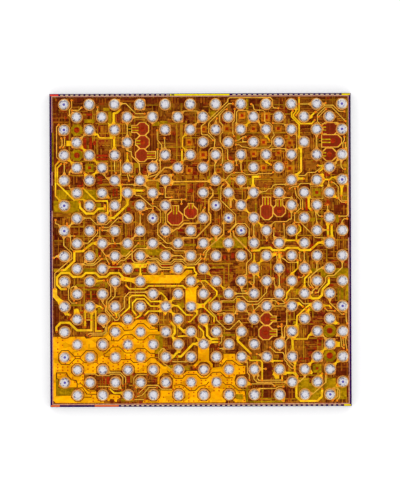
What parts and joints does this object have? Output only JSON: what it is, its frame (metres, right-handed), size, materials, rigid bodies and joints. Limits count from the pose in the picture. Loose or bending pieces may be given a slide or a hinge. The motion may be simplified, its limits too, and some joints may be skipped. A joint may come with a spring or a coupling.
{
  "type": "wafer-level chip-scale ball grid array",
  "caption": "Bare-die chip package lying on its back, with gold redistribution traces and 253 solder balls in a staggered grid.",
  "frame": {"origin": "centre of the flat back face", "axes": "+Z out of the ball side, +Y along the longer side towards ball row A, +X along the ball rows towards the higher columns"},
  "size_m": [0.0068, 0.007, 0.0005],
  "materials": {
    "solder": "satin",
    "film": "matte",
    "silicon": "satin",
    "stack": "satin",
    "shield": "satin",
    "strap": "satin",
    "cell": "satin",
    "seal": "satin",
    "copper": "satin",
    "via": "satin",
    "bump": "satin"
  },
  "bodies": {
    "root": {"back_film": "film", "silicon_die": "silicon", "circuit_stack": "stack", "dark_fields": "stack", "shield_plates": "shield", "metal_straps": "strap", "cell_frames": "strap", "device_cells": "cell", "coil_windings": "cell", "coil_leads": "shield", "seal_ring": "seal", "street_test_pads": "seal", "street_bars": "shield", "supply_planes": "copper", "ball_pads": "copper", "pad_corners": "copper", "supply_traces": "copper", "signal_traces_a": "copper", "signal_traces_b": "copper", "signal_traces_c": "copper", "signal_traces_d": "copper", "coil_guards": "copper", "via_caps": "via", "under_bump_pads": "bump", "solder_balls_row_a": "solder", "solder_balls_row_b": "solder", "solder_balls_row_c": "solder", "solder_balls_row_d": "solder", "solder_balls_row_e": "solder", "solder_balls_row_f": "solder", "solder_balls_row_g": "solder", "solder_balls_row_h": "solder", "solder_balls_row_i": "solder", "solder_balls_row_j": "solder", "solder_balls_row_k": "solder", "solder_balls_row_l": "solder", "solder_balls_row_m": "solder", "solder_balls_row_n": "solder", "solder_balls_row_o": "solder", "solder_balls_row_p": "solder", "solder_balls_row_q": "solder", "solder_balls_row_r": "solder", "solder_balls_row_s": "solder", "solder_balls_row_t": "solder", "solder_balls_row_u": "solder", "solder_balls_row_v": "solder", "solder_balls_row_w": "solder", "solder_balls_row_x": "solder"}
  },
  "joints": []
}
